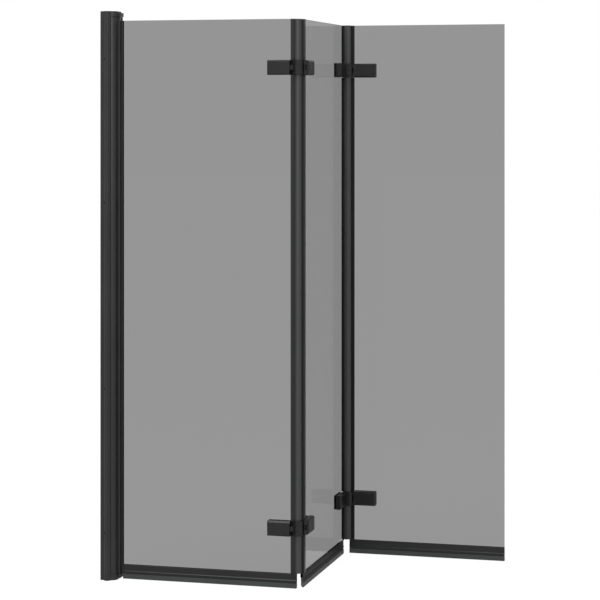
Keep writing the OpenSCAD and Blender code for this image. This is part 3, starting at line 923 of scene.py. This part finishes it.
class SCREEN_OT_stage(bpy.types.Operator):
    """Floor, light and camera"""

    bl_idname = "screen.stage"
    bl_label = "Stage"

    def execute(self, context):
        kit = context.scene.screen_stage
        deselect()
        bpy.ops.mesh.primitive_plane_add(size=FLOOR_SIZE, location=(0, 0, RIM - FLOOR_DROP))
        floor = bpy.context.object
        floor.name = "floor"
        material, tree, shader = new_material("pale floor")
        shader.inputs["Base Color"].default_value = (0.88, 0.88, 0.88, 1)
        shader.inputs["Roughness"].default_value = 0.9
        rays = tree.nodes.new("ShaderNodeLightPath")
        share = self.seen(tree, rays, FLOOR_WHITE)
        tree.links.new(share, self.mixed(tree, shader).inputs["Fac"])
        dress(floor, material)

        world = bpy.data.worlds.new("studio")
        context.scene.world = world
        world.use_nodes = True
        tree = world.node_tree
        background = next(n for n in tree.nodes if n.type == "BACKGROUND")
        background.inputs["Color"].default_value = (1, 1, 1, 1)
        rays = tree.nodes.new("ShaderNodeLightPath")
        level = tree.nodes.new("ShaderNodeMapRange")
        level.inputs["To Min"].default_value = kit.ambient
        level.inputs["To Max"].default_value = 1.0
        tree.links.new(self.seen(tree, rays, 1.0), level.inputs["Value"])
        tree.links.new(level.outputs["Result"], background.inputs["Strength"])

        self.lamp("key lamp", (1.5, -4.0, 1.5), (0.45, 0.2, 0.1), kit.lamp)
        self.lamp("overhead lamp", (-0.1, -1.2, 2.6), (0.0, -0.7, -0.5), kit.overhead)

        camera = bpy.data.objects.new("camera", bpy.data.cameras.new("camera"))
        context.scene.collection.objects.link(camera)
        camera.location = (*CAMERA_PLACE, RIM + kit.height)
        camera.rotation_euler = (math.radians(90), 0, math.radians(kit.azimuth))
        camera.data.lens = kit.lens
        camera.data.sensor_width = 36
        camera.data.shift_y = kit.shift
        camera.data.clip_end = 200
        context.scene.camera = camera
        context.scene.view_settings.view_transform = "Standard"
        return {"FINISHED"}

    def seen(self, tree, rays, most):
        """The rays that show the white background, as a factor up to most."""
        total = rays.outputs["Is Camera Ray"]
        for name in ("Is Glossy Ray", "Is Transmission Ray"):
            node = tree.nodes.new("ShaderNodeMath")
            node.operation = "MAXIMUM"
            tree.links.new(total, node.inputs[0])
            tree.links.new(rays.outputs[name], node.inputs[1])
            total = node.outputs["Value"]
        node = tree.nodes.new("ShaderNodeMath")
        node.operation = "MULTIPLY"
        node.inputs[1].default_value = most
        tree.links.new(total, node.inputs[0])
        return node.outputs["Value"]

    def mixed(self, tree, shader):
        """The floor's own shader mixed with plain white."""
        mix = tree.nodes.new("ShaderNodeMixShader")
        white = tree.nodes.new("ShaderNodeEmission")
        white.inputs["Strength"].default_value = FLOOR_GLOW
        output = next(n for n in tree.nodes if n.type == "OUTPUT_MATERIAL")
        tree.links.new(shader.outputs["BSDF"], mix.inputs[1])
        tree.links.new(white.outputs["Emission"], mix.inputs[2])
        tree.links.new(mix.outputs["Shader"], output.inputs["Surface"])
        return mix

    def lamp(self, name, place, target, power):
        """A large soft lamp that points at target."""
        data = bpy.data.lights.new(name, "AREA")
        data.size = LAMP_SIZE
        data.energy = power
        lamp = bpy.data.objects.new(name, data)
        bpy.context.scene.collection.objects.link(lamp)
        lamp.location = place
        lamp.rotation_euler = (Vector(target) - Vector(place)).to_track_quat("-Z", "Y").to_euler()


PIECES = [
    SCREEN_OT_finishes, SCREEN_OT_glass, SCREEN_OT_rails, SCREEN_OT_lips, SCREEN_OT_hinges,
    SCREEN_OT_clamps, SCREEN_OT_adjusters, SCREEN_OT_profiles, SCREEN_OT_stage,
]


class SCREEN_PT_sidebar(bpy.types.Panel):
    """Builders of the bath screen, one button for each group of pieces"""

    bl_idname = "SCREEN_PT_sidebar"
    bl_label = "Bath screen"
    bl_space_type = "VIEW_3D"
    bl_region_type = "UI"
    bl_category = "Bath screen"

    def draw(self, context):
        for piece in PIECES:
            self.layout.operator(piece.bl_idname)


KITS = {
    "screen_glass": ScreenGlass,
    "screen_metal": ScreenMetal,
    "screen_seal": ScreenSeal,
    "screen_stage": ScreenStage,
}


def register():
    for cls in (*KITS.values(), *PIECES, SCREEN_PT_sidebar):
        bpy.utils.register_class(cls)
    for name, cls in KITS.items():
        setattr(bpy.types.Scene, name, PointerProperty(type=cls))


def unregister():
    for name in KITS:
        delattr(bpy.types.Scene, name)
    for cls in reversed((*KITS.values(), *PIECES, SCREEN_PT_sidebar)):
        bpy.utils.unregister_class(cls)


def main():
    """Builds the screen piece by piece."""
    register()
    for piece in PIECES:
        group, name = piece.bl_idname.split(".")
        getattr(getattr(bpy.ops, group), name)()


if __name__ == "__main__":
    main()
